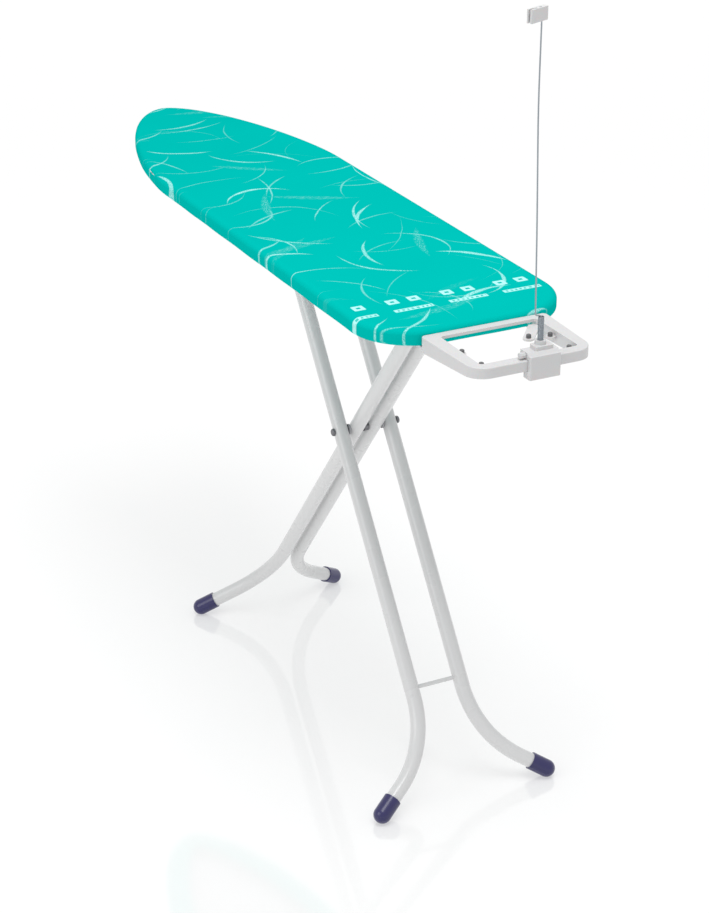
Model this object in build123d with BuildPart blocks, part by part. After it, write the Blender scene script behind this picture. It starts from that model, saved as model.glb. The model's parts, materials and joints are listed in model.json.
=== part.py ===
from build123d import *
from math import cos, pi, radians, sin
import os

os.makedirs("parts", exist_ok=True)

# Folding ironing board, in millimetres. X runs along the board, with the narrow nose at -X and the
# square end with the iron rest at +X. The feet stand on Z = 0.

# ---------------------------------------------------------------- driving dimensions
board_length = 1100.0
board_width = 300.0
board_top = 745.0
board_depth = 25.0  # cover, pad, panel and rim together
end_x = 480.0  # square end of the board
end_corner = 87.0  # plan radius of the square end's corners
taper_start = 730.0  # distance from the square end where the nose begins to narrow
taper_power = 1.5
taper_root = 1.757

cover_skin = 1.2
pad_thick = 4.6
panel_thick = 1.2
hem_width = 42.0  # how far the cover turns in under the board
rim_inset = 3.6
rim_thick = 2.0
beam_drop = 11.0
beam_wall = 1.5
beam_lip = 8.0  # flange of a beam against the panel

tube_r = 11.0
tube_wall = 1.2
outer_y = 39.6  # centre plane of each outer leg
inner_y = 14.7  # centre plane of each inner leg
cross_x = 142.6  # the scissor pivot
cross_z = 458.5
outer_angle = 54.2
inner_angle = 51.3
bend_r = 150.0
bend_angle = 52.0
outer_straight = 402.0  # pivot to the start of the foot bend
inner_straight = 414.0
cap_r = 13.0
cap_deep = 27.0  # length of the cap over the tube
cap_floor = 3.0  # rubber past the tube's end

rod_z = 708.0  # sliding rod at the top of the outer legs
rod_r = 4.0
axle_z = 702.0  # fixed axle at the top of the inner legs
bolt_r = 3.0
running = 0.05  # radial clearance of a turning fit

rest_z = 738.0  # top of the iron rest
rest_front = 614.0
rest_back_half = 93.0
rest_front_half = 87.0

# ---------------------------------------------------------------- derived places
panel_top = board_top - cover_skin - pad_thick
panel_bottom = panel_top - panel_thick
rim_bottom = board_top - board_depth + 3.2
beam_bottom = panel_bottom - beam_drop
half = board_width / 2
nose_x = end_x - board_length
taper_x = end_x - taper_start

outer_arm = (rod_z - cross_z) / sin(radians(outer_angle))
inner_arm = (axle_z - cross_z) / sin(radians(inner_angle))
rod_x = cross_x - outer_arm * cos(radians(outer_angle))
axle_x = cross_x + inner_arm * cos(radians(inner_angle))

fold_angle = 48.3  # travel of the inner legs from standing to folded
folded = inner_angle - fold_angle
folded_cross_x = axle_x - inner_arm * cos(radians(folded))
rod_travel = rod_x - (folded_cross_x - outer_arm)


def save(part, name):
    """Label a finished piece and write its STEP file."""
    part.label = name
    export_step(part, f"parts/{name}.step")


def plan(z, inset=0.0):
    """The board's plan on the level z, drawn smaller by inset on every side."""
    wide = half - inset
    corner = end_corner - inset
    reach = board_length - taper_start - inset
    back_x = end_x - inset
    nose = []
    for step in range(1, 12):
        t = sin(radians(15 * step))
        w = wide * max(1 - t**taper_power, 0) ** (1 / taper_root)
        nose.append((taper_x - reach * t, w if step < 6 else -w))
    with BuildSketch(Plane.XY.offset(z)) as sketch:
        with BuildLine():
            left = Line((back_x - corner, wide), (taper_x, wide))
            tip = Spline(left @ 1, *nose, (taper_x, -wide), tangents=[(-1, 0), (1, 0)])
            right = Line(tip @ 1, (back_x - corner, -wide))
            low = RadiusArc(right @ 1, (back_x, corner - wide), -corner)
            back = Line(low @ 1, (back_x, wide - corner))
            RadiusArc(back @ 1, left @ 0, -corner)
        make_face()
    return sketch.sketch


# ---------------------------------------------------------------- board top
# Perforated steel panel, drawn as the plain sheet it is cut from.
panel_inset = 3.0
with BuildPart() as panel:
    extrude(plan(panel_bottom, panel_inset), amount=panel_thick)
save(panel.part, "board_panel")

# Foam pad between the panel and the cover.
pad_inset = 2.6
pad_round = 4.2
pad_gap = 0.2  # kept free under the cover
with BuildPart() as pad:
    extrude(plan(panel_top, pad_inset), amount=pad_thick - pad_gap)
    fillet(pad.faces().sort_by(Axis.Z)[-1].edges(), pad_round)
save(pad.part, "foam_pad")

# Stretch cover: a skin over the top and sides, turned in under the board to a hem.
cover_round = 7.0
with BuildPart() as cavity:
    extrude(plan(board_top - board_depth + cover_skin, cover_skin), amount=board_depth - 2 * cover_skin)
    fillet(cavity.faces().filter_by(Axis.Z).edges(), cover_round - cover_skin)
with BuildPart() as cover:
    extrude(plan(board_top - board_depth), amount=board_depth)
    fillet(cover.faces().filter_by(Axis.Z).edges(), cover_round)
    add(cavity.part, mode=Mode.SUBTRACT)
    extrude(plan(board_top - board_depth - 1, hem_width), amount=5, mode=Mode.SUBTRACT)
save(cover.part, "board_cover")

# Steel rim under the panel's edge, bent from one strip and cut at the taper and the corners.
rim_tall = panel_bottom - rim_bottom
rim_cuts = {
    "nose_rim": (nose_x - 5, taper_x, -half, half),
    "side_rail_near": (taper_x, end_x - end_corner, -half, 0),
    "side_rail_far": (taper_x, end_x - end_corner, 0, half),
    "end_rim": (end_x - end_corner, end_x + 5, -half, half),
}
for name, (x0, x1, y0, y1) in rim_cuts.items():
    with BuildPart() as rim:
        extrude(plan(rim_bottom, rim_inset), amount=rim_tall)
        extrude(plan(rim_bottom, rim_inset + rim_thick), amount=rim_tall, mode=Mode.SUBTRACT)
        with Locations(((x0 + x1) / 2, (y0 + y1) / 2, rim_bottom)):
            Box(x1 - x0, y1 - y0, 3 * rim_tall, mode=Mode.INTERSECT)
    save(rim.part, name)

# Places of the fasteners that are driven upwards into the beams: x and y of each.
bracket_holes = [(axle_x + dx, dy) for dx in (-20.0, 20.0) for dy in (-37.0, 37.0)]
rail_holes = [(x, dy) for x in (-222.0, 0.0) for dy in (-10.0, 10.0)]
arm_y = 80.0  # centre of each arm that carries the iron rest
block_holes = [(axle_x - 16.0, dy) for dy in (-arm_y, arm_y)]
screw_r = 2.0

# Pressed channels across the board that carry the rail, the leg bracket and the rest's arms.
beam_half = half - rim_inset - rim_thick
beams = {"nose_beam": (-222.0, 36.0), "middle_beam": (0.0, 36.0), "end_beam": (axle_x, 64.0)}
for name, (x, width) in beams.items():
    with BuildPart() as beam:
        with BuildSketch(Plane.XZ.offset(beam_half)):
            with Locations((x, beam_bottom + beam_drop / 2)):
                Rectangle(width, beam_drop)
            with Locations((x, beam_bottom + beam_drop / 2 + beam_wall)):
                Rectangle(width - 2 * beam_wall, beam_drop, mode=Mode.SUBTRACT)
            for side in (-1, 1):
                with Locations((x + side * (width + beam_lip) / 2, panel_bottom - beam_wall / 2)):
                    Rectangle(beam_lip, beam_wall)
        extrude(amount=-2 * beam_half)
        with Locations([(hx, hy, beam_bottom) for hx, hy in bracket_holes + rail_holes + block_holes]):
            Cylinder(screw_r, 6, mode=Mode.SUBTRACT)
    save(beam.part, name)

# ---------------------------------------------------------------- fittings under the board
rail_half = 20.0
rail_wall = 1.5
rail_bottom = 699.0
rail_end = 40.0
rail_spare = 24.0  # rail past the folded place of the rod
rail_start = rod_x - rod_travel - rail_spare
slot_low = rod_z - rod_r - 0.5
slot_high = rod_z + rod_r + 2.3  # the rod rises a little in mid travel
slot_spare = 14.0  # slot past both ends of the rod's travel
notch_count = 5
notch_pitch = 34.0
notch_r = 3.4
lever_x = 28.0
lever_z = 709.0
pin_r = 3.0

with BuildPart() as rail:
    with BuildSketch(Plane.YZ.offset(rail_start)):
        with Locations((0, (rail_bottom + beam_bottom) / 2)):
            Rectangle(2 * rail_half, beam_bottom - rail_bottom)
        with Locations((0, (rail_bottom + beam_bottom) / 2 - rail_wall)):
            Rectangle(2 * (rail_half - rail_wall), beam_bottom - rail_bottom, mode=Mode.SUBTRACT)
    extrude(amount=rail_end - rail_start)
    with BuildSketch(Plane.XZ.offset(rail_half + 5)):
        slot_mid = (slot_low + slot_high) / 2
        with Locations((rod_x - rod_travel / 2, slot_mid)):
            SlotOverall(rod_travel + slot_spare, slot_high - slot_low)
        for notch in range(notch_count):
            with Locations((rod_x - 2 - notch_pitch * notch, slot_high - 0.5)):
                Circle(notch_r)
        with Locations((lever_x, lever_z)):
            Circle(pin_r)
    extrude(amount=-2 * (rail_half + 5), mode=Mode.SUBTRACT)
    with Locations([(hx, hy, beam_bottom) for hx, hy in rail_holes]):
        Cylinder(screw_r, 8, mode=Mode.SUBTRACT)
save(rail.part, "height_rail")

# Saddle bracket with two ears that carry the inner legs' axle.
ear_y = 29.0
ear_thick = 2.0
plate_thick = 2.0
plate_long = 58.0
plate_wide = 83.4
ear_base = 22.0  # half-width of an ear where it meets the plate
ear_tip = 9.0
plate_seat = beam_bottom - plate_thick
with BuildPart() as bracket:
    with Locations((axle_x, 0, beam_bottom - plate_thick / 2)):
        Box(plate_long, plate_wide, plate_thick)
    with Locations([(hx, hy, beam_bottom) for hx, hy in bracket_holes]):
        Cylinder(screw_r, 8, mode=Mode.SUBTRACT)
    for side in (-1, 1):
        with BuildSketch(Plane.XZ.offset(-side * ear_y)):
            with BuildLine():
                root = Line((axle_x - ear_base, plate_seat), (axle_x + ear_base, plate_seat))
                slant = Line(root @ 1, (axle_x + ear_tip, axle_z))
                tip = ThreePointArc(slant @ 1, (axle_x, axle_z - ear_tip), (axle_x - ear_tip, axle_z))
                Line(tip @ 1, root @ 0)
            make_face()
            with Locations((axle_x, axle_z)):
                Circle(rod_r, mode=Mode.SUBTRACT)
        extrude(amount=ear_thick / 2, both=True)
save(bracket.part, "leg_bracket")


def cross_bar(x, z, radius, reach, head_r, head_thick):
    """A round bar along Y with a flat head at each end, reach from the middle to each head."""
    with BuildPart() as bar:
        with BuildSketch(Plane.XZ.offset(-reach)):
            with Locations((x, z)):
                Circle(radius)
        extrude(amount=2 * reach)
        for side in (-1, 1):
            with BuildSketch(Plane.XZ.offset(side * (reach + head_thick / 2))):
                with Locations((x, z)):
                    Circle(head_r)
            extrude(amount=head_thick / 2, both=True)
        fillet(bar.faces().group_by(Axis.Y)[0].edges(), 1.0)
        fillet(bar.faces().group_by(Axis.Y)[-1].edges(), 1.0)
    return bar.part


save(cross_bar(axle_x, axle_z, rod_r, ear_y + ear_thick / 2, 6.5, 2.5), "leg_axle")

# Height lever: a flat arm whose hook holds the sliding rod, and a rod out to the near side.
lever_thick = 3.0
lever_low = 697.5
lever_high = 713.0
hook_x = rod_x - rod_r - 0.7
hook_thick = 5.0
hook_seat = 702.5
hook_top = 711.0
hub_r = 7.0
handle_x = 78.0
handle_z = 704.0
handle_r = 3.0
handle_reach = 100.0
with BuildPart() as lever:
    with BuildSketch(Plane.XZ.offset(-lever_thick / 2)):
        with BuildLine():
            Polyline(
                (hook_x - hook_thick, lever_low),
                (lever_x - 10, lever_low),
                (handle_x + 5, handle_z - 4.5),
                (handle_x + 5, handle_z + 4.5),
                (lever_x + 6, lever_high),
                (lever_x - 4, lever_high),
                (lever_x - 14, hook_seat),
                (hook_x, hook_seat),
                (hook_x, hook_top),
                (hook_x - hook_thick, hook_top - 2.5),
                close=True,
            )
        make_face()
        with Locations((lever_x, lever_z)):
            Circle(hub_r)
            Circle(pin_r + running, mode=Mode.SUBTRACT)
    extrude(amount=lever_thick)
    with BuildSketch(Plane.XZ.offset(lever_thick / 2)):
        with Locations((handle_x, handle_z)):
            Circle(handle_r)
    extrude(amount=handle_reach - lever_thick / 2)
save(lever.part, "height_lever")

# Plastic grip on the end of the lever's rod.
grip_length = 36.0
grip_wall = 4.0  # closed end past the rod
with BuildPart() as grip:
    with BuildSketch(Plane.XZ.offset(handle_reach - grip_length + grip_wall)):
        with Locations((handle_x, handle_z)):
            SlotOverall(18, 10.5)
    extrude(amount=grip_length)
    fillet(grip.edges().group_by(Axis.Y)[0], 2.0)
    fillet(grip.edges().group_by(Axis.Y)[-1], 2.0)
    with BuildSketch(Plane.XZ.offset(handle_reach - grip_length)):
        with Locations((handle_x, handle_z)):
            Circle(handle_r)
    extrude(amount=grip_length, mode=Mode.SUBTRACT)
save(grip.part, "lever_grip")

save(cross_bar(lever_x, lever_z, pin_r, rail_half, 5.0, 1.8), "lever_pin")

# Return spring wound on the pin beside the lever, drawn as the sleeve that its turns fill.
with BuildPart() as coil:
    with BuildSketch(Plane.XZ.offset(3.0)):
        with Locations((lever_x, lever_z)):
            Circle(5.4)
            Circle(pin_r + 0.4, mode=Mode.SUBTRACT)
    extrude(amount=9.0)
save(coil.part, "lever_spring")

# Flat arms under the board that carry the iron rest, and the blocks that drop them below the hem.
arm_top = board_top - board_depth - 0.6
arm_thick = 3.0
arm_wide = 14.0
arm_gap = 0.8  # beside an arm, where it enters the rest
arm_end = end_x + 13.0
arm_start = axle_x - 24.0
arm_front_hole = arm_end - 7.0
arm_back_hole = arm_start + 8.0
for name, side in (("rest_arm_near", -1), ("rest_arm_far", 1)):
    with BuildPart() as arm:
        with BuildSketch(Plane.XY.offset(arm_top - arm_thick)):
            with Locations(((arm_start + arm_end) / 2, side * arm_y)):
                SlotOverall(arm_end - arm_start, arm_wide)
        extrude(amount=arm_thick)
        with Locations((arm_front_hole, side * arm_y, arm_top), (arm_back_hole, side * arm_y, arm_top)):
            Hole(screw_r)
    save(arm.part, name)

with BuildPart() as blocks:
    for side in (-1, 1):
        with Locations((arm_back_hole, side * arm_y, (arm_top + beam_bottom) / 2)):
            Box(16, arm_wide, beam_bottom - arm_top)
            Cylinder(screw_r, 2 * beam_drop, mode=Mode.SUBTRACT)
save(blocks.part, "arm_spacers")


head_r = 3.6
head_tall = 2.2


def screws(places, name):
    """Pan-head screws driven upwards: x, y, the level under which the head sits, and the shank's length."""
    with BuildPart() as group:
        for x, y, seat, length in places:
            with Locations((x, y, seat + length / 2)):
                Cylinder(screw_r, length)
            with Locations((x, y, seat - head_tall / 2)):
                Cylinder(head_r, head_tall)
        fillet(group.edges().group_by(Axis.Z)[0], 1.0)
    save(group.part, name)


screws([(x, y, plate_seat, plate_thick + beam_wall) for x, y in bracket_holes], "bracket_screws")
screws([(x, y, beam_bottom - rail_wall, rail_wall + beam_wall) for x, y in rail_holes], "rail_rivets")
arm_seat = arm_top - arm_thick
block_length = beam_bottom + beam_wall - arm_seat
screws([(x, y, arm_seat, block_length) for x, y in block_holes], "spacer_screws")
screws([(arm_front_hole, y, arm_seat, 12.0) for y in (-arm_y, arm_y)], "rest_screws")

# ---------------------------------------------------------------- legs
leg_overrun = 9.0  # tube past the centre of its top rod
lower_rod_at = 388.0  # along the outer legs, from the pivot
lower_rod_r = 3.0


def leg_plane(angle, way):
    """The sloping plane that a pair of legs lies in: local x down the legs, local y along +Y."""
    down = Vector(way * cos(radians(angle)), 0, -sin(radians(angle)))
    return Plane(origin=(cross_x, 0, cross_z), x_dir=down, z_dir=down.cross(Vector(0, 1, 0)))


def leg_pair(kind, angle, way, centre_y, straight, arm, top_hole, pivot_hole):
    """Both tubes of one frame with their foot caps and end plugs; way is +1 with its feet towards +X."""
    plane = leg_plane(angle, way)
    turn = radians(bend_angle)
    bend_end = straight + bend_r * sin(turn)
    tail = ((cross_z - cap_r) / sin(radians(angle)) - bend_end) / cos(turn)
    for side, hand in ((-1, "near"), (1, "far")):
        with BuildLine(plane) as path:
            run = Line((-arm - leg_overrun, side * centre_y), (straight, side * centre_y))
            bend = JernArc(run @ 1, run % 1, bend_r, side * bend_angle)
            Line(bend @ 1, (bend @ 1) + (bend % 1) * (tail - cap_floor))
        route = path.wires()[0]
        with BuildPart() as tube:
            with BuildSketch(Plane(route @ 0, z_dir=route % 0)):
                Circle(tube_r)
                Circle(tube_r - tube_wall, mode=Mode.SUBTRACT)
            sweep(path=route)
            for along, hole in ((-arm, top_hole), (0, pivot_hole)):
                spot = plane.from_local_coords(Vector(along, side * centre_y, 0))
                with BuildSketch(Plane(spot, x_dir=(1, 0, 0), z_dir=(0, 1, 0))):
                    Circle(hole)
                extrude(amount=tube_r + 1, both=True, mode=Mode.SUBTRACT)
            if kind == "outer":
                spot = plane.from_local_coords(Vector(lower_rod_at, 0, 0))
                with BuildSketch(Plane(spot, x_dir=(1, 0, 0), z_dir=(0, side, 0))):
                    Circle(lower_rod_r)
                extrude(amount=centre_y, mode=Mode.SUBTRACT)
        save(tube.part, f"{kind}_leg_{hand}")

        tip = (route @ 1) + (route % 1) * cap_floor
        with BuildPart() as cap:
            with BuildSketch(Plane(tip, x_dir=route % 1, z_dir=plane.z_dir)):
                with BuildLine():
                    nose = ThreePointArc((cap_r, 0), (cap_r * cos(pi / 4), cap_r * sin(pi / 4)), (0, cap_r))
                    Polyline(
                        nose @ 1,
                        (-cap_deep, cap_r),
                        (-cap_deep, tube_r),
                        (-cap_floor, tube_r),
                        (-cap_floor, 0),
                        nose @ 0,
                    )
                make_face()
            revolve(axis=Axis(tip, route % 1))
        save(cap.part, f"{kind}_foot_{hand}")

    with BuildPart() as plugs:
        for side in (-1, 1):
            mouth = plane.from_local_coords(Vector(-arm - leg_overrun, side * centre_y, 0))
            with BuildSketch(Plane(mouth, z_dir=plane.x_dir)):
                Circle(tube_r - tube_wall)
            extrude(amount=4)
            with BuildSketch(Plane(mouth, z_dir=-plane.x_dir)):
                Circle(tube_r - 0.2)
            extrude(amount=1.8)
    save(plugs.part, f"{kind}_leg_plugs")


leg_pair("outer", outer_angle, 1, outer_y, outer_straight, outer_arm, rod_r, bolt_r + running)
leg_pair("inner", inner_angle, -1, inner_y, inner_straight, inner_arm, rod_r + running, bolt_r)

save(cross_bar(rod_x, rod_z, rod_r, outer_y + tube_r + 0.1, 7.0, 2.5), "sliding_rod")


def ring_pair(x, z, low, high, outside, inside, name):
    """Two equal round spacers about an axis along Y, each from low to high off the middle."""
    with BuildPart() as pair:
        for side in (-1, 1):
            with BuildSketch(Plane.XZ.offset(-side * (low + high) / 2)):
                with Locations((x, z)):
                    Circle(outside)
                    Circle(inside, mode=Mode.SUBTRACT)
            extrude(amount=(high - low) / 2, both=True)
    save(pair.part, name)


ring_pair(rod_x, rod_z, rail_half + 0.4, outer_y - tube_r - 0.2, 7.0, rod_r, "rod_spacers")
ring_pair(cross_x, cross_z, inner_y + tube_r + 0.05, outer_y - tube_r - 0.15, 8.0, bolt_r, "pivot_washers")

# The thin rod that ties the outer legs together above their feet.
lower_spot = leg_plane(outer_angle, 1).from_local_coords(Vector(lower_rod_at, 0, 0))
with BuildPart() as tie:
    with BuildSketch(Plane(lower_spot, x_dir=(1, 0, 0), z_dir=(0, 1, 0))):
        Circle(lower_rod_r)
    extrude(amount=outer_y - tube_r + 4, both=True)
save(tie.part, "lower_rod")

# Through bolt of the scissor, its nut, and the sleeve between the inner legs.
bolt_reach = outer_y + tube_r + 0.2
with BuildPart() as bolt:
    with BuildSketch(Plane.XZ.offset(bolt_reach)):
        with Locations((cross_x, cross_z)):
            Circle(bolt_r)
    extrude(amount=-2 * bolt_reach - 2.6)
    with BuildSketch(Plane.XZ.offset(bolt_reach)):
        with Locations((cross_x, cross_z)):
            Circle(5.6)
    extrude(amount=3.4)
    fillet(bolt.edges().group_by(Axis.Y)[0], 2.2)
save(bolt.part, "pivot_bolt")

with BuildPart() as nut:
    with BuildSketch(Plane.XZ.offset(-bolt_reach)):
        with Locations((cross_x, cross_z)):
            Circle(5.6)
    extrude(amount=-4.6)
    fillet(nut.edges().group_by(Axis.Y)[-1], 2.2)
    with BuildSketch(Plane.XZ.offset(-bolt_reach)):
        with Locations((cross_x, cross_z)):
            Circle(bolt_r)
    extrude(amount=-2.6, mode=Mode.SUBTRACT)
save(nut.part, "pivot_nut")

with BuildPart() as sleeve:
    with BuildSketch(Plane.XZ):
        with Locations((cross_x, cross_z)):
            Circle(7.0)
            Circle(bolt_r, mode=Mode.SUBTRACT)
    extrude(amount=inner_y - tube_r - 0.05, both=True)
save(sleeve.part, "pivot_sleeve")

# ---------------------------------------------------------------- iron rest
rest_back = end_x + 0.4
rest_deep = 22.0
rest_wall = 2.5
rest_lip = 2.0
rest_corner = 26.0
opening_corner = 5.0
top_thick = 3.0
bar_width = 16.0
opening_half = 71.5
opening_back = end_x + 14.0
opening_front = rest_front - bar_width
tab_top = 731.0
tab_thick = 2.5
buffer_places = [(540.0, -65.0), (540.0, 65.0), (588.0, -64.0), (588.0, 64.0), (533.0, 37.0)]


with BuildPart() as rest:
    with BuildSketch(Plane.XY.offset(rest_z)) as rest_plan:
        with BuildLine():
            Polyline(
                (rest_back, -rest_back_half),
                (rest_front, -rest_front_half),
                (rest_front, rest_front_half),
                (rest_back, rest_back_half),
                close=True,
            )
        make_face()
        fillet(rest_plan.vertices().group_by(Axis.X)[-1], rest_corner)
        fillet(rest_plan.vertices().group_by(Axis.X)[0], 6.0)
    extrude(amount=-rest_deep)
    fillet(rest.faces().sort_by(Axis.Z)[-1].edges(), 1.2)
    with BuildSketch(Plane.XY.offset(rest_z - top_thick)) as rest_hollow:
        with BuildLine():
            Polyline(
                (rest_back + rest_wall, -rest_back_half + rest_wall),
                (rest_front - rest_wall, -rest_front_half + rest_wall),
                (rest_front - rest_wall, rest_front_half - rest_wall),
                (rest_back + rest_wall, rest_back_half - rest_wall),
                close=True,
            )
        make_face()
        fillet(rest_hollow.vertices().group_by(Axis.X)[-1], rest_corner - rest_wall)
        fillet(rest_hollow.vertices().group_by(Axis.X)[0], 6.0 - rest_wall)
        middle = (opening_back + opening_front) / 2
        with Locations((middle, 0)):
            RectangleRounded(
                opening_front - opening_back + 2 * rest_lip,
                2 * (opening_half + rest_lip),
                opening_corner + rest_lip,
                mode=Mode.SUBTRACT,
            )
    extrude(amount=-rest_deep, mode=Mode.SUBTRACT)
    with BuildSketch(Plane.XY.offset(rest_z + 1)):
        with Locations((middle, 0)):
            RectangleRounded(opening_front - opening_back, 2 * opening_half, opening_corner)
    extrude(amount=-rest_deep - 2, mode=Mode.SUBTRACT)
    with Locations((rest_back + 5, 0, rest_z - top_thick - 11)):
        Box(20, 2 * (arm_y + arm_wide / 2 + arm_gap), 20, mode=Mode.SUBTRACT)
    with BuildSketch(Plane.XZ.offset(100)):
        with BuildLine():
            Polyline(
                (rest_back - 5, rest_z - rest_deep),
                (rest_front + 5, rest_z - 14),
                (rest_front + 5, rest_z - 40),
                (rest_back - 5, rest_z - 40),
                close=True,
            )
        make_face()
    extrude(amount=-200, mode=Mode.SUBTRACT)
    for bx, by in buffer_places[:4]:
        with Locations((bx, by + (1 if by > 0 else -1), tab_top - tab_thick / 2)):
            Cylinder(6.5, tab_thick)
    with BuildSketch(Plane.XY.offset(tab_top)):
        tab_line = Vector(*buffer_places[4]) - Vector(501.0, 63.5)
        with Locations(Vector(501.0, 63.5) + tab_line / 2):
            SlotCenterToCenter(tab_line.length, 15.0, rotation=-tab_line.get_angle(Vector(1, 0)))
    extrude(amount=-tab_thick)
    for side in (-1, 1):
        with Locations((arm_front_hole, side * arm_y, (arm_top + rest_z - top_thick) / 2)):
            Box(11.2, 12, rest_z - top_thick - arm_top)
        with Locations((arm_front_hole, side * arm_y, arm_top + 4.5)):
            Cylinder(screw_r, 9, mode=Mode.SUBTRACT)
save(rest.part, "iron_rest")

with BuildPart() as buffers:
    for bx, by in buffer_places:
        with Locations((bx, by, tab_top + 2.5)):
            Cylinder(3.3, 5.0)
    fillet(buffers.edges().group_by(Axis.Z)[-1], 1.4)
save(buffers.part, "rest_buffers")

# ---------------------------------------------------------------- cable mast
block_near = -12.0
block_far = 33.0
block_front = rest_front + 6.0
mast_x = 600.0
mast_y = 13.5
tower_r = 7.5
tower_top = 757.0
head_near = 1.0  # the narrower head under the mast
head_far = 27.0
knob_x = 606.0
knob_z = 742.8
knob_r = 4.2
screw_shank = 2.0
spring_r = 4.0
spring_wall = 1.6
spring_seat = 8.8  # length of the spring held in the clamp

# Clamp that hooks over the rest's front bar.
block_back = rest_front - 19.4
block_top = 747.0
head_top = 752.0
block_low = 712.5
plate_top = 743.5
hook_low = 722.8  # under the rest's front wall
inner_lip = 730.0
slide_gap = 0.4
with BuildPart() as clamp:
    with BuildSketch(Plane.XZ.offset(-block_far)):
        with BuildLine():
            Polyline(
                (block_back, inner_lip),
                (block_back, block_top),
                (rest_front - 2, block_top),
                (rest_front + 2, plate_top),
                (block_front, plate_top),
                (block_front, block_low),
                (rest_front - 10, block_low),
                (rest_front - 10, hook_low),
                (rest_front + slide_gap, hook_low),
                (rest_front + slide_gap, rest_z + slide_gap),
                (block_back + 3, rest_z + slide_gap),
                (block_back + 3, inner_lip),
                close=True,
            )
        make_face()
    extrude(amount=block_far - block_near)
    front = clamp.faces().sort_by(Axis.X)[-1]
    fillet(front.edges().filter_by(Axis.Z), 2.0)
    with BuildSketch(Plane.XY.offset(block_top)):
        with Locations(((block_back + rest_front - 3) / 2, (head_near + head_far) / 2)):
            RectangleRounded(rest_front - 3 - block_back, head_far - head_near, 2.0)
    extrude(amount=head_top - block_top)
    with Locations((mast_x, mast_y, (head_top + tower_top) / 2)):
        Cylinder(tower_r, tower_top - head_top)
    with Locations((mast_x, mast_y, tower_top - 4.5)):
        Cylinder(spring_r + 0.1, 9.0, mode=Mode.SUBTRACT)
    with BuildSketch(Plane.XZ.offset(-block_near)):
        with Locations((knob_x, knob_z)):
            Circle(screw_shank + running)
    extrude(amount=-14.0, mode=Mode.SUBTRACT)
save(clamp.part, "mast_clamp")

# Thumb screw in the clamp's near side.
with BuildPart() as knob:
    with BuildSketch(Plane.XZ.offset(-block_near + 0.4)):
        with Locations((knob_x, knob_z)):
            Circle(knob_r)
            with PolarLocations(knob_r + 0.4, 9):
                Circle(0.9, mode=Mode.SUBTRACT)
    extrude(amount=8.0)
    fillet(knob.edges().group_by(Axis.Y)[0], 0.5)
    with BuildSketch(Plane.XZ.offset(-block_near + 0.4)):
        with Locations((knob_x, knob_z)):
            Circle(screw_shank)
    extrude(amount=-13.5)
save(knob.part, "clamp_screw")

# Close-wound spring at the foot of the mast, drawn as the sleeve that its turns fill.
spring_top = 788.5
with BuildPart() as spring:
    with BuildSketch(Plane.XY.offset(tower_top - spring_seat)):
        with Locations((mast_x, mast_y)):
            Circle(spring_r)
            Circle(spring_r - spring_wall, mode=Mode.SUBTRACT)
    extrude(amount=spring_top - tower_top + spring_seat)
save(spring.part, "mast_spring")

# Spring-steel mast wire, from the spring's last turn to the clip.
wire_r = 1.0
wire_points = [(10.6, 789.7), (4.9, 790.8), (2.9, 900.0), (-1.6, 1060.0), (-1.0, 1150.0), (-1.0, 1171.5)]
wire_radii = [3.0, 8000.0, 2400.0, 500.0]
with BuildPart() as wire:
    with BuildLine() as wire_path:
        FilletPolyline(*[(mast_x, y, z) for y, z in wire_points], radius=wire_radii)
    wire_route = wire_path.wires()[0]
    with BuildSketch(Plane(wire_route @ 0, z_dir=wire_route % 0)):
        Circle(wire_r)
    sweep(path=wire_route)
save(wire.part, "mast_wire")

# Cable clip on the wire: a small box whose open end holds the iron's cable between two jaws.
clip_turn = 22.0
clip_long = 32.0
clip_deep = 8.4
clip_low = 1163.5
clip_high = 1180.0
clip_middle = -8.5  # of the box, from the wire
slot_wide = 2.6
slot_deep = 9.0
clip_plane = Plane((mast_x, -1.0, clip_low)).rotated((0, 0, clip_turn))
with BuildPart() as clip:
    with BuildSketch(clip_plane):
        with Locations((0, clip_middle)):
            RectangleRounded(clip_deep, clip_long, 1.5)
        with Locations((0, clip_middle - clip_long / 2 + slot_deep / 2 - 1)):
            SlotOverall(slot_deep + 2, slot_wide, rotation=90, mode=Mode.SUBTRACT)
    extrude(amount=clip_high - clip_low)
    with BuildSketch(clip_plane):
        Circle(wire_r + running)
    extrude(amount=8.4, mode=Mode.SUBTRACT)
    with BuildSketch(clip_plane.offset(clip_high - clip_low)):
        with Locations((1.2, clip_middle - 5), (1.2, clip_middle + 4)):
            SlotOverall(5.0, 2.4, rotation=90)
    extrude(amount=-2.5, mode=Mode.SUBTRACT)
save(clip.part, "cable_clip")
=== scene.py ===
# %% [markdown]
# # A folding ironing board, piece by piece
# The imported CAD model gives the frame: every tube, rod, bracket and moulding already lies in its place,
# in metres, with the feet on the floor at Z = 0 and the nose of the board towards -X. This lesson adds
# what a CAD model leaves out: the stretched cloth cover, the foam under it, the wound springs and the
# finish of every surface.

# %% Load the frame
import json
import math

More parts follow.
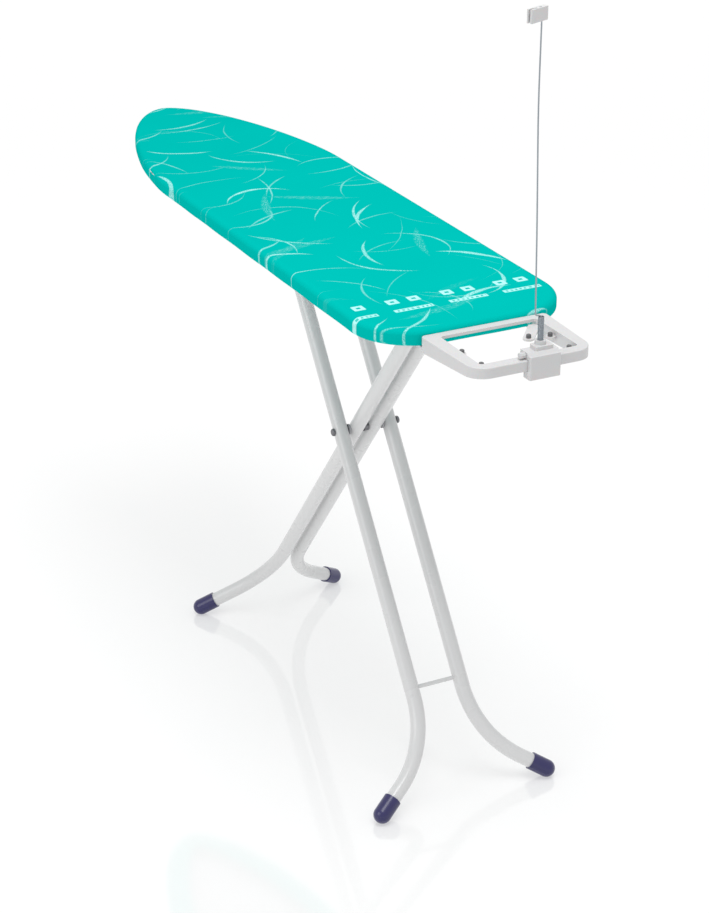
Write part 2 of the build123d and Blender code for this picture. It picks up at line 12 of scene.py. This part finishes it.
import bmesh
import bpy
import numpy as np
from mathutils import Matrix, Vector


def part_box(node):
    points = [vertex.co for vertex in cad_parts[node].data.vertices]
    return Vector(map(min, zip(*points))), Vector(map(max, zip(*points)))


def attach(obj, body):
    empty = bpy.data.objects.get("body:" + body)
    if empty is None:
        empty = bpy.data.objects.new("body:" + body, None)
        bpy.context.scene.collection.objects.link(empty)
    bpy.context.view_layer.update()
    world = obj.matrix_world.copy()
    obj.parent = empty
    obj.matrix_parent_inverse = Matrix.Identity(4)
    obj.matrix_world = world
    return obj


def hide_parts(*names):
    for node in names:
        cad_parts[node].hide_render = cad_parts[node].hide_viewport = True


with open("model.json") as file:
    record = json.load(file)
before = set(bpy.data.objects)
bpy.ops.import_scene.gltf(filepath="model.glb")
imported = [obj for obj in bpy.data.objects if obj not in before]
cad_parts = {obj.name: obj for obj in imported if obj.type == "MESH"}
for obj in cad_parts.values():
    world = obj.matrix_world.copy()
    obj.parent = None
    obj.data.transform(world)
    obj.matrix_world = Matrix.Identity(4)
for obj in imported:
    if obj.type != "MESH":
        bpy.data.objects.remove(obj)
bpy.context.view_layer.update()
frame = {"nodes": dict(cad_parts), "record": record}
nodes = frame["nodes"]
record = frame["record"]

# %% [markdown]
# ## Floor, light and camera
# A white laundry product is shown on a white floor that fades into a white wall. The floor glows a
# little, so that it stays white in the shade, and a thin gloss over it mirrors the feet faintly. The
# wall is the world: it lights cloth and paint softly, and it looks brighter in a gloss than it lights.

# %% A class for shader arithmetic


class Wire:
    """One output of a shader node, which takes part in Python sums like a number."""

    def __init__(self, tree, output):
        self.tree = tree
        self.output = output

    def node(self, kind, settings=None, values=None, take=0):
        """Adds a node with its settings, then its sockets by name or number, and gives output take."""
        made = self.tree.nodes.new(kind)
        for name, setting in (settings or {}).items():
            setattr(made, name, setting)
        for name, value in (values or {}).items():
            if isinstance(value, Wire):
                self.tree.links.new(value.output, made.inputs[name])
            else:
                made.inputs[name].default_value = value
        return Wire(self.tree, made.outputs[take])

    def math(self, operation, *values):
        return self.node("ShaderNodeMath", {"operation": operation}, dict(enumerate(values)))

    def vector(self, operation, *values, take=0):
        return self.node("ShaderNodeVectorMath", {"operation": operation}, dict(enumerate(values)), take)

    def __add__(self, other):
        return self.math("ADD", self, other)

    def __sub__(self, other):
        return self.math("SUBTRACT", self, other)

    def __rsub__(self, other):
        return self.math("SUBTRACT", other, self)

    def __mul__(self, other):
        return self.math("MULTIPLY", self, other)

    def __truediv__(self, other):
        return self.math("DIVIDE", self, other)

    def __abs__(self):
        return self.math("ABSOLUTE", self)

    __radd__ = __add__
    __rmul__ = __mul__

    def root(self):
        return self.math("SQRT", self)

    def sine(self):
        return self.math("SINE", self)

    def floor(self):
        return self.math("FLOOR", self)

    def fract(self):
        return self.math("FRACT", self)

    def clear(self):
        """The value held between 0 and 1."""
        return self.node("ShaderNodeClamp", None, {"Value": self})

    def over(self, other):
        """The larger of the two values."""
        return self.math("MAXIMUM", self, other)

    def parts(self):
        """The x, y and z of a vector, as three wires."""
        split = self.node("ShaderNodeSeparateXYZ", None, {0: self})
        return [Wire(self.tree, out) for out in split.output.node.outputs]

    def noise(self, scale, detail=2.0, roughness=0.5):
        """Cloudy noise from 0 to 1 on this position, with scale lumps to the metre."""
        values = {"Vector": self, "Scale": scale, "Detail": detail, "Roughness": roughness}
        return self.node("ShaderNodeTexNoise", None, values)

    def mix(self, low, high):
        """Colour low where this value is 0, and colour high where it is 1."""
        values = {0: self, 6: low, 7: high}
        return self.node("ShaderNodeMix", {"data_type": "RGBA"}, values, take=2)

    def bump(self, depth, strength=1.0):
        """A surface normal raised by this value, depth metres high at 1."""
        values = {"Height": self, "Distance": depth, "Strength": strength}
        return self.node("ShaderNodeBump", None, values)


def finish(name, constants):
    """A material with one Principled shader, its constants set on the shader's own sockets."""
    material = bpy.data.materials.new(name)
    material.use_nodes = True
    shader = material.node_tree.nodes["Principled BSDF"]
    for socket, value in constants.items():
        shader.inputs[socket].default_value = value
    spot = material.node_tree.nodes.new("ShaderNodeTexCoord").outputs["Object"]
    return material, Wire(material.node_tree, spot)


def feed(material, wires):
    """Joins wires to the named sockets of the material's shader."""
    shader = material.node_tree.nodes["Principled BSDF"]
    for socket, wire in wires.items():
        material.node_tree.links.new(wire.output, shader.inputs[socket])
    print("finish", material.name, len(material.node_tree.nodes), "nodes")


# %% Floor
floor_half = 40.0
corners = np.array([(-1, -1, 0), (1, -1, 0), (1, 1, 0), (-1, 1, 0)], float) * floor_half
floor_mesh = bpy.data.meshes.new("studio_floor")
floor_mesh.from_pydata(corners.tolist(), [], [(0, 1, 2, 3)])
floor = bpy.data.objects.new("studio_floor", floor_mesh)
bpy.context.scene.collection.objects.link(floor)
floor_gloss = {"Base Color": (0.5, 0.5, 0.5, 1), "Roughness": 0.06, "Specular IOR Level": 1.0}
floor_gloss.update({"Emission Color": (1, 1, 1, 1), "Emission Strength": 0.47})
floor_finish, floor_spot = finish("studio_floor", floor_gloss)
feed(floor_finish, {"Roughness": 0.05 + 0.03 * floor_spot.noise(3.0)})
floor_mesh.materials.append(floor_finish)

# %% Light
world = bpy.data.worlds.new("studio")
bpy.context.scene.world = world
world.use_nodes = True
background = world.node_tree.nodes["Background"]
ray = Wire(world.node_tree, world.node_tree.nodes.new("ShaderNodeLightPath").outputs["Is Diffuse Ray"])
ambient = 0.52
world.node_tree.links.new((1.0 - (1 - ambient) * ray).output, background.inputs["Strength"])
background.inputs["Color"].default_value = (1, 1, 1, 1)


def soft_box(name, place, target, size, power):
    """A square area light that points at target."""
    lamp = bpy.data.lights.new(name, "AREA")
    lamp.size = size
    lamp.energy = power
    holder = bpy.data.objects.new(name, lamp)
    holder.location = place
    aim = Vector(target) - Vector(place)
    holder.rotation_euler = aim.to_track_quat("-Z", "Y").to_euler()
    bpy.context.scene.collection.objects.link(holder)


soft_box("key_light", (0.9, -4.2, 2.4), (0.1, 0, 0.5), 2.4, 38)
soft_box("top_light", (0.9, 0.0, 4.5), (0, 0, 0.7), 2.5, 95)
bpy.context.scene.view_settings.view_transform = "Standard"

# %% Camera
camera_data = bpy.data.cameras.new("camera")
camera_data.sensor_width = 36.0
camera_data.lens = 89.43
camera = bpy.data.objects.new("camera", camera_data)
camera.location = (2.853, -1.379, 1.817)
camera_dip = 0.4336
camera_heading = 2.676
camera.rotation_euler = (math.pi / 2 - camera_dip, 0, camera_heading - math.pi / 2)
bpy.context.scene.collection.objects.link(camera)
bpy.context.scene.camera = camera
print("camera", tuple(round(v, 3) for v in camera.location), "lens", camera_data.lens)

# %% [markdown]
# ## The printed cover cloth
# The cover is a cotton cloth printed in one colour over its whole width: loose chalk strokes, some
# thick and short, some as thin as a hair, with a few rubbed patches. No two look the same, so drawing
# them by hand would take hundreds of curves. Instead the cloth is divided into large square cells, and
# each cell turns, bends and rubs out one stroke by its own random numbers. Several layers of cells, each
# turned another way, lie over each other, so that the squares don't show.

# %% Strokes of the print
full_turn = 2 * math.pi


def cells(spot, size, turn, seed):
    """Square cells on the XY plane: the place inside the cell from its middle, and three random numbers."""
    turned = spot.node(
        "ShaderNodeVectorRotate", {"rotation_type": "Z_AXIS"}, {"Vector": spot, "Angle": turn}
    )
    flat = turned.vector("MULTIPLY_ADD", turned, (1 / size, 1 / size, 0), (seed * 7.3, seed * 3.1, seed))
    inside = flat.vector("SUBTRACT", flat.vector("FRACTION", flat), (0.5, 0.5, 0))
    cell = flat.vector("FLOOR", flat)
    random = cell.node("ShaderNodeTexWhiteNoise", {"noise_dimensions": "3D"}, {"Vector": cell}, take=1)
    return inside, random.parts()


def stroke(spot, size, turn, seed, reach, width, grain):
    """One layer of bent chalk strokes, one to a cell. A stroke is the part of a circle within reach of the
    cell's middle, widest in its middle, with its pressure and its grain from noise."""
    inside, (spin, bend, press) = cells(spot, size, turn, seed)
    nudge = inside.node("ShaderNodeCombineXYZ", None, {0: 0.1 * bend, 1: 0.1 * spin})
    shift = inside.vector("ADD", inside, nudge)
    turned = shift.node(
        "ShaderNodeVectorRotate", {"rotation_type": "Z_AXIS"}, {"Vector": shift, "Angle": full_turn * spin}
    )
    x, y, _ = turned.parts()
    radius = 0.38 + 0.9 * bend
    wobble = 0.03 * (spot.noise(18.0, 1.0) - 0.5)
    sunk = y + radius
    off = abs((x * x + sunk * sunk).root() - radius + wobble)
    taper = (1.0 - (x * x) / (reach * reach)).clear()
    half_width = width / size * taper * (0.3 + 1.2 * press * spot.noise(26.0, 1.0))
    soft = 0.0008 / size
    ink = ((half_width - off) / soft).clear() * ((y + 0.32) / 0.1).clear()
    chalk = ((spot.noise(700.0, 4.0, 0.75) - grain) * 7.0).clear()
    return ink * chalk * (0.35 + 0.65 * press)


def rub(spot, size, turn, seed, reach):
    """One layer of rubbed patches: thin pointed ovals of grain dragged along their length."""
    inside, (spin, bend, press) = cells(spot, size, turn, seed)
    angle = 0.5 * full_turn * spin
    turned = inside.node(
        "ShaderNodeVectorRotate", {"rotation_type": "Z_AXIS"}, {"Vector": inside, "Angle": angle}
    )
    x, y, _ = turned.parts()
    belly = 0.04 * (1.0 - (x * x) / (reach * reach)).clear()
    edge = ((belly - abs(y + 0.3 * bend * x * x)) / 0.02).clear()
    dragged = turned.vector("MULTIPLY", turned, (24.0, 130.0, 1.0))
    scratch = ((dragged.noise(1.0, 5.0, 0.8) - 0.50) * 6.0).clear()
    return edge * scratch * (press * 1.4 - 0.35).clear()


def care_marks(spot):
    """A row of plain care marks across the square end: groups of two small rounded squares above one long
    bar of ticks, one group every pitch along Y."""
    pitch = 0.082
    row_x = 0.372
    bar_x = 0.404
    x, y, _ = spot.parts()
    along = ((y / pitch + 0.245).fract() - 0.5) * pitch

    def slab(across, length, half_x, half_y, corner):
        """1 inside a rounded rectangle about the place (across, length), 0 outside."""
        dx = (abs(across) - (half_x - corner)).over(0.0)
        dy = (abs(length) - (half_y - corner)).over(0.0)
        reach = (dx * dx + dy * dy).root()
        return ((corner - reach) / 0.0006).clear()

    square_y = abs(along) - 0.016
    square = slab(x - row_x, square_y, 0.0082, 0.0086, 0.002)
    mark = slab(x - row_x, square_y, 0.0030, 0.0034, 0.001)
    bar = slab(x - bar_x, along, 0.0046, 0.029, 0.0012)
    tick_wave = (along * 900.0 + spot.noise(60.0) * 6.0).sine()
    ticks = slab(x - bar_x, along, 0.0026, 0.027, 0.0005) * ((tick_wave + 0.15) * 3.0).clear()
    worn = (1.6 - spot.noise(300.0, 3.0) * 1.3).clear()
    return (square * (1.0 - mark) + bar * (1.0 - ticks)).clear() * worn


# %% Cover cloth
cloth_teal = (0.0, 0.530, 0.475, 1)
cloth_shade = (0.0, 0.485, 0.435, 1)
cloth_pale = (0.50, 0.96, 0.93, 1)
cloth, spot = finish("cover_cloth", {"Specular IOR Level": 0.0})
ink = stroke(spot, 0.145, 0.30, 1, 0.40, 0.0034, 0.40)
for size, turn, seed, reach, width, grain in (
    (0.160, 1.15, 2, 0.42, 0.0024, 0.42),
    (0.150, 2.05, 3, 0.36, 0.0040, 0.40),
    (0.190, 2.70, 4, 0.44, 0.0014, 0.38),
    (0.140, 0.75, 5, 0.38, 0.0020, 0.42),
):
    ink = ink.over(stroke(spot, size, turn, seed, reach, width, grain))
for size, turn, seed in ((0.22, 0.55, 6), (0.19, 1.85, 7)):
    ink = ink.over(0.7 * rub(spot, size, turn, seed, 0.34))
ink = ink.over(care_marks(spot))
tone = spot.noise(5.0, 3.0)
ground = tone.mix(cloth_teal, cloth_shade)
printed = ink.mix(ground, cloth_pale)
thread = 1400.0
warp, weft, fall = spot.parts()
weave = (warp * thread).sine() * (weft * thread).sine()
weave = weave + (fall * thread).sine() * 0.5
slub = weave * 0.5 + spot.noise(700.0, 2.0) * 0.8
feed(cloth, {"Base Color": printed, "Roughness": 0.74 + 0.12 * tone, "Normal": slub.bump(0.00012, 0.6)})

# %% [markdown]
# ## Metal, paint and plastic
# The legs are powder coated: a glossy white skin with a fine orange peel. The moulded parts have a
# slightly duller white. Zinc plate has a faint cloudy bloom. Each finish varies a little over the
# surface, because a surface without any change looks like nothing at all.

# %% Plain finishes
finishes = {"cover_cloth": cloth}


def plain(slot, colour, second, constants, rough, lump, peel, peel_scale):
    """A finish that drifts between two colours over lumps to the metre. Its roughness drifts too, and it has
    a fine relief, peel metres deep."""
    made, spot = finish(slot, constants)
    drift = spot.noise(lump, 3.0)
    fine = spot.noise(peel_scale, 2.0)
    rough_wire = rough * (0.85 + 0.3 * spot.noise(lump * 6, 4.0))
    relief = fine.bump(peel, 0.5)
    feed(made, {"Base Color": drift.mix(colour, second), "Roughness": rough_wire, "Normal": relief})
    finishes[slot] = made


plain(
    "foam",
    (0.8, 0.8, 0.77, 1),
    (0.66, 0.67, 0.65, 1),
    {"Sheen Weight": 0.3},
    0.9, 60.0, 0.0006, 900.0,
)
plain(
    "white_paint",
    (0.74, 0.74, 0.74, 1),
    (0.71, 0.71, 0.715, 1),
    {"Coat Weight": 0.35, "Coat Roughness": 0.08},
    0.28, 4.0, 6e-05, 600.0,
)
plain(
    "white_plastic",
    (0.67, 0.665, 0.67, 1),
    (0.64, 0.635, 0.645, 1),
    {"Subsurface Weight": 0.05},
    0.36, 9.0, 4e-05, 1500.0,
)
plain(
    "blue_caps",
    (0.01, 0.008, 0.085, 1),
    (0.015, 0.012, 0.105, 1),
    {"Coat Weight": 0.25},
    0.3, 40.0, 5e-05, 1200.0,
)
plain(
    "dark_rubber",
    (0.1, 0.1, 0.105, 1),
    (0.15, 0.15, 0.155, 1),
    {},
    0.6, 90.0, 8e-05, 1400.0,
)
plain(
    "dark_steel",
    (0.12, 0.12, 0.13, 1),
    (0.22, 0.22, 0.235, 1),
    {"Metallic": 0.9},
    0.38, 150.0, 4e-05, 1600.0,
)
plain(
    "grey_nylon",
    (0.42, 0.42, 0.44, 1),
    (0.36, 0.36, 0.38, 1),
    {},
    0.5, 60.0, 4e-05, 1500.0,
)
plain(
    "zinc_steel",
    (0.62, 0.63, 0.65, 1),
    (0.5, 0.52, 0.55, 1),
    {"Metallic": 1.0},
    0.34, 70.0, 3e-05, 1200.0,
)
plain(
    "spring_steel",
    (0.36, 0.39, 0.42, 1),
    (0.26, 0.29, 0.32, 1),
    {"Metallic": 1.0},
    0.2, 50.0, 2e-05, 2500.0,
)

# %% Painted panel
# The panel is punched all over with round vents in staggered rows. They are not cut but drawn as darker
# rounds, with a rolled edge of paint; the dark grey of each round is painted shade standing in for the inside
# of the hole.
panel_paint, spot = finish("panel_steel", {"Coat Weight": 0.2})
vent_pitch = 0.016
vent_radius = 0.0045
x, y, z = spot.parts()
row = (y / (vent_pitch * 0.866)).floor()
stagger = (row * 0.5).fract()
across = ((x / vent_pitch + stagger).fract() - 0.5) * vent_pitch
up = (y / (vent_pitch * 0.866) - row - 0.5) * (vent_pitch * 0.866)
from_vent = (across * across + up * up).root()
sheet_level = ((0.7395 - z) / 0.0002).clear() * ((z - 0.7378) / 0.0001).clear()
vent = ((vent_radius - from_vent) / 0.0004).clear() * sheet_level
drift = spot.noise(8.0, 3.0)
painted = drift.mix((0.74, 0.75, 0.76, 1), (0.68, 0.69, 0.71, 1))
# painted shade: this dark grey fills each vent round in place of the shade inside a real hole
vent_shade_grey = (0.30, 0.30, 0.30, 1)
punched = vent.mix(painted, vent_shade_grey)
edge_roll = (vent + spot.noise(500.0) * 0.05).bump(-0.0008, 0.7)
feed(panel_paint, {"Base Color": punched, "Roughness": 0.4 + 0.5 * vent, "Normal": edge_roll})
finishes["panel_steel"] = panel_paint

# %% Give every CAD node its finish
for part in record["subparts"]:
    for place in nodes[part["node"]].material_slots:
        place.material = finishes[part["material_slot"]]
print(len(record["subparts"]), "nodes have", len(finishes), "finishes")

# %% [markdown]
# ## Surfaces from grids
# Every new piece below is a grid of points worked out at once: the first index runs along a path, the
# second across it, and quads join neighbours. Where a row of points falls together, as at a pole, the
# doubles are merged, so that the piece is closed.


# %% A mesh from a grid
def surface(name, grid, slot, ring_first=False, ring_second=False, outward=True):
    """A piece whose corner (i, j) is grid[i, j]. ring_first and ring_second join the last row or column to
    the first. With outward, doubles are merged and the faces are turned outwards."""
    rows, columns = grid.shape[:2]
    index = np.arange(rows * columns).reshape(rows, columns)
    if ring_first:
        index = np.vstack([index, index[:1]])
    if ring_second:
        index = np.hstack([index, index[:, :1]])
    quads = np.stack([index[:-1, :-1], index[1:, :-1], index[1:, 1:], index[:-1, 1:]], axis=-1)
    mesh = bpy.data.meshes.new(name)
    mesh.from_pydata(grid.reshape(-1, 3).tolist(), [], quads.reshape(-1, 4).tolist())
    work = bmesh.new()
    work.from_mesh(mesh)
    bmesh.ops.remove_doubles(work, verts=work.verts, dist=1e-6)
    if outward:
        bmesh.ops.recalc_face_normals(work, faces=work.faces)
    work.to_mesh(mesh)
    work.free()
    mesh.shade_smooth()
    mesh.materials.append(finishes[slot])
    piece = bpy.data.objects.new(name, mesh)
    bpy.context.scene.collection.objects.link(piece)
    print(name, len(mesh.polygons), "faces")
    return piece


def unit(vectors):
    """The vectors, each brought to length 1."""
    return vectors / np.linalg.norm(vectors, axis=-1, keepdims=True)


def rope(path, radius, sides, across):
    """A round section carried along a path: at each point the circle lies square to the path, and starts
    from the direction across. Its ends are closed by a last ring of no radius."""
    along = unit(np.gradient(path, axis=0))
    side = unit(across - along * np.sum(across * along, axis=-1, keepdims=True))
    rise = np.cross(along, side)
    angle = np.linspace(0, full_turn, sides, endpoint=False)
    ring = np.cos(angle)[:, None] * side[:, None] + np.sin(angle)[:, None] * rise[:, None]
    tube = path[:, None] + np.broadcast_to(radius, len(path))[:, None, None] * ring
    start = np.repeat(path[:1, None], sides, axis=1)
    end = np.repeat(path[-1:, None], sides, axis=1)
    return np.concatenate([start, tube, end])


# %% [markdown]
# ## The board's plan
# The board's outline has two straight sides, round corners at the square end and a long nose. The nose's
# half-width falls from the full half-width as (1 - t^1.5)^0.57, where t runs from 0 to 1 over the nose.

# %% Outline of the board
cover_low, cover_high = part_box("board_cover")
half = cover_high[1]
end_x = cover_high[0]
nose_x = cover_low[0]
top_z = cover_high[2]
low_z = cover_low[2]
corner = 0.087
taper_x = end_x - 0.730
around = 720


def board_outline(count):
    """count points round the plan at equal steps, from the nose's tip along +Y, and the outward ways."""
    t = np.sin(np.linspace(math.pi / 2, 0, 200))
    nose_half = half * np.maximum(1 - t**1.5, 0) ** (1 / 1.757)
    nose = np.column_stack([taper_x - (taper_x - nose_x) * t, nose_half])
    a = np.linspace(math.pi / 2, 0, 60)
    bend = np.column_stack([end_x - corner + corner * np.cos(a), half - corner + corner * np.sin(a)])
    one_side = np.vstack([nose, bend, [(end_x, 0)]])
    loop = np.vstack([one_side, one_side[-2::-1] * (1, -1)])
    run = np.concatenate([[0], np.cumsum(np.linalg.norm(np.diff(loop, axis=0), axis=1))])
    at = np.linspace(0, run[-1], count, endpoint=False)
    even = np.column_stack([np.interp(at, run, loop[:, k]) for k in (0, 1)])
    for _ in range(6):
        even = 0.5 * even + 0.25 * (np.roll(even, 1, axis=0) + np.roll(even, -1, axis=0))
    ahead = np.roll(even, -1, axis=0) - np.roll(even, 1, axis=0)
    out = unit(np.column_stack([-ahead[:, 1], ahead[:, 0]]))
    return even, out, run[-1]


rim, rim_out, rim_length = board_outline(around)
turning = np.abs(np.cross(np.roll(rim_out, 2, axis=0), np.roll(rim_out, -2, axis=0)))
turning = turning / turning.max()
for _ in range(20):
    turning = 0.5 * turning + 0.25 * (np.roll(turning, 1) + np.roll(turning, -1))
print("outline", round(rim_length, 3), "m round")


def shell(profile, top_rows, crown):
    """A surface wrapped on the plan. profile lists (inset, height) from under the board up to the top's edge,
    and rows of the top then close in on the middle line, rising by crown."""
    spine_low = nose_x + 0.5 * half
    spine_high = end_x - half
    share = (rim[:, 0] - nose_x) / (end_x - nose_x)
    spine = np.column_stack([spine_low + (spine_high - spine_low) * share, np.zeros(len(rim))])
    inset = np.array([p[0] for p in profile])
    height = np.array([p[1] for p in profile])
    flat = rim[:, None] - inset[None, :, None] * rim_out[:, None]
    wall = np.concatenate([flat, np.broadcast_to(height[None, :, None], flat.shape[:2] + (1,))], axis=-1)
    ratio = 1 - np.linspace(0, 1, top_rows + 1)[1:]
    middle = spine[:, None] + ratio[None, :, None] * (flat[:, -1:] - spine[:, None])
    rise = height[-1] + crown * (1 - ratio**2)
    top = np.concatenate([middle, np.broadcast_to(rise[None, :, None], middle.shape[:2] + (1,))], axis=-1)
    return np.concatenate([wall, top], axis=1)


def quarter(inset, height, radius_in, radius_up, start, stop, count):
    """Points (inset, height) on part of an ellipse about a centre, from angle start to stop in degrees."""
    a = np.radians(np.linspace(start, stop, count))
    return [(inset - radius_in * math.cos(v), height + radius_up * math.sin(v)) for v in a]


# %% [markdown]
# ## The cover
# The cover is cut larger than the board and gathered under it at a rolled hem. On the top it is
# stretched flat over the foam, so it only rolls softly over the edge. Underneath, the spare cloth gathers
# in pleats, close and deep where the edge turns, and almost none along the straight sides.

# %% Cover
hem = 0.042
cloth_thick = 0.0009
roll_low = 0.006
roll_up = 0.0105
under = [(hem - (hem - roll_low) * k / 15, low_z + 0.0004) for k in range(15)]
low_roll = quarter(roll_low, low_z + 0.0004 + roll_low, roll_low, roll_low, -90, 0, 8)
top_roll = quarter(roll_up, top_z - 0.0008 - roll_up * 0.86, roll_up, roll_up * 0.86, 0, 90, 10)
cover_grid = shell(under + low_roll + top_roll, 27, 0.0008)
rows = cover_grid.shape[1]
at = np.arange(around) / around * rim_length
chance = np.random.default_rng(11)
pitch_noise = np.zeros(around)
for wave in range(3, 12):
    height = chance.normal() / wave
    pitch_noise += height * np.sin(full_turn * wave * at / rim_length + chance.uniform(0, full_turn))
pleat = np.sin(full_turn * at / 0.0150 * round(rim_length / 0.015) * 0.015 / rim_length + 3.5 * pitch_noise)
fine_pleat = np.sin(full_turn * round(rim_length / 0.0093) * at / rim_length + 5 * pitch_noise)
depth = 0.0004 + 0.0027 * np.clip(turning * 1.6, 0, 1)
wave = depth * (0.5 + 0.36 * pleat + 0.14 * fine_pleat)
under_share = np.zeros(rows)
under_share[:15] = np.linspace(1, 0, 15) ** 0.8
cover_grid[..., 2] += wave[:, None] * under_share[None]
side_share = np.exp(-(((np.arange(rows) - 19) / 5.0) ** 2))
bulge = 0.0003 * np.sin(full_turn * 23 * at / rim_length + 2 * pitch_noise) - 0.0004
cover_grid[..., :2] += (bulge[:, None] * side_share[None])[..., None] * rim_out[:, None]
ripple = np.zeros(cover_grid.shape[:2])
for _ in range(7):
    along_x, along_y = chance.normal(0, 9, 2)
    slant = along_x * cover_grid[..., 0] + along_y * cover_grid[..., 1]
    ripple += np.sin(slant + chance.uniform(0, full_turn))
top_share = np.clip((np.arange(rows) - 30) / 6, 0, 1)
cover_grid[..., 2] -= 0.00007 * (ripple + 7) * top_share[None] * 0.6
cover = surface("cover_cloth", cover_grid[::-1], "cover_cloth", ring_first=True, outward=False)
lining = cover.modifiers.new("cloth_thickness", "SOLIDIFY")
lining.thickness = cloth_thick
lining.offset = -1

# %% Gathered hem
edge = cover_grid[:, 0] + np.array([0, 0, 0.0012])
gather = 1 + 0.16 * np.sin(full_turn * round(rim_length / 0.0062) * at / rim_length + 4 * pitch_noise)
hem_out = np.column_stack([rim_out, np.zeros(around)])
angle = np.linspace(0, full_turn, 14, endpoint=False)
hem_radius = 0.0019 * gather
ring = np.cos(angle)[None, :, None] * hem_out[:, None] + np.sin(angle)[None, :, None] * np.array([0, 0, 1.0])
hem_grid = edge[:, None] + hem_radius[:, None, None] * ring
hem_tube = surface("cover_hem", hem_grid, "cover_cloth", ring_first=True, ring_second=True)

# %% Foam pad
pad_low, pad_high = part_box("foam_pad")
pad_in = pad_low[0] - nose_x
pad_edge = quarter(pad_in + 0.0042, pad_high[2] - 0.0042 - 0.0004, 0.0042, 0.0042, 0, 90, 6)
pad_under = [(0.06, pad_low[2] + 0.0002), (0.03, pad_low[2] + 0.0001), (pad_in + 0.001, pad_low[2])]
pad_grid = shell(pad_under + pad_edge, 12, 0.0003)
pad = surface("foam_pad_crowned", pad_grid[::-1], "foam", ring_first=True, outward=False)

# %% [markdown]
# ## Springs
# The mast stands in a close-wound spring, so that it gives way when the cable is pulled. Its turns touch,
# and they catch the light as fine rings. A helix is a circle whose height grows with its angle.


# %% Wound springs
def coil(foot, axis, start_at, mean_radius, wire, turns, pitch, steps):
    """A helix of round wire about the line through foot along axis: its height is pitch times turns."""
    axis = np.array(axis, float)
    first = unit(np.array(start_at, float))
    second = np.cross(axis, first)
    a = np.linspace(0, full_turn * turns, int(steps * turns))
    out = np.cos(a)[:, None] * first + np.sin(a)[:, None] * second
    path = np.array(foot) + mean_radius * out + (pitch * a / full_turn)[:, None] * axis
    return rope(path, wire / 2, 8, out)


spring_low, spring_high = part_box("mast_spring")
spring_x = (spring_low[0] + spring_high[0]) / 2
spring_y = (spring_low[1] + spring_high[1]) / 2
spring_wire = 0.00105
spring_turns = (spring_high[2] - spring_low[2] - spring_wire) / (spring_wire * 1.04)
spring_radius = (spring_high[0] - spring_low[0]) / 2 - spring_wire / 2
mast_coil_grid = coil(
    (spring_x, spring_y, spring_low[2] + spring_wire / 2),
    (0, 0, 1),
    (0, -1, 0),
    spring_radius,
    spring_wire,
    round(spring_turns),
    spring_wire * 1.04,
    26,
)
mast_coil = surface("mast_coil", mast_coil_grid, "spring_steel", ring_second=True)

# %% Return spring of the lever
pin_low, pin_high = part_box("lever_spring")
pin_middle = (pin_low + pin_high) / 2
return_wire = 0.0014
return_pitch = return_wire * 1.06
return_turns = (pin_high[1] - pin_low[1] - return_wire) / return_pitch
return_radius = (pin_high[0] - pin_low[0]) / 2 - return_wire / 2
return_foot = (pin_middle[0], pin_low[1] + return_wire / 2, pin_middle[2])
return_grid = coil(
    return_foot,
    (0, 1, 0),
    (1, 0, 0),
    return_radius,
    return_wire,
    return_turns,
    return_pitch,
    26,
)
return_coil = surface("return_coil", return_grid, "spring_steel", ring_second=True)

# %% What the new pieces ride on
for piece in (cover, hem_tube, pad, return_coil):
    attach(piece, "board")
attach(mast_coil, "mast_holder")
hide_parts("board_cover")
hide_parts("foam_pad")
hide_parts("mast_spring")
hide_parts("lever_spring")

plan_area = 0.5 * abs(np.sum(rim[:, 0] * np.roll(rim[:, 1], -1) - np.roll(rim[:, 0], -1) * rim[:, 1]))
turn_in = (top_z - low_z) + hem - 0.006
flat_area = plan_area + rim_length * turn_in
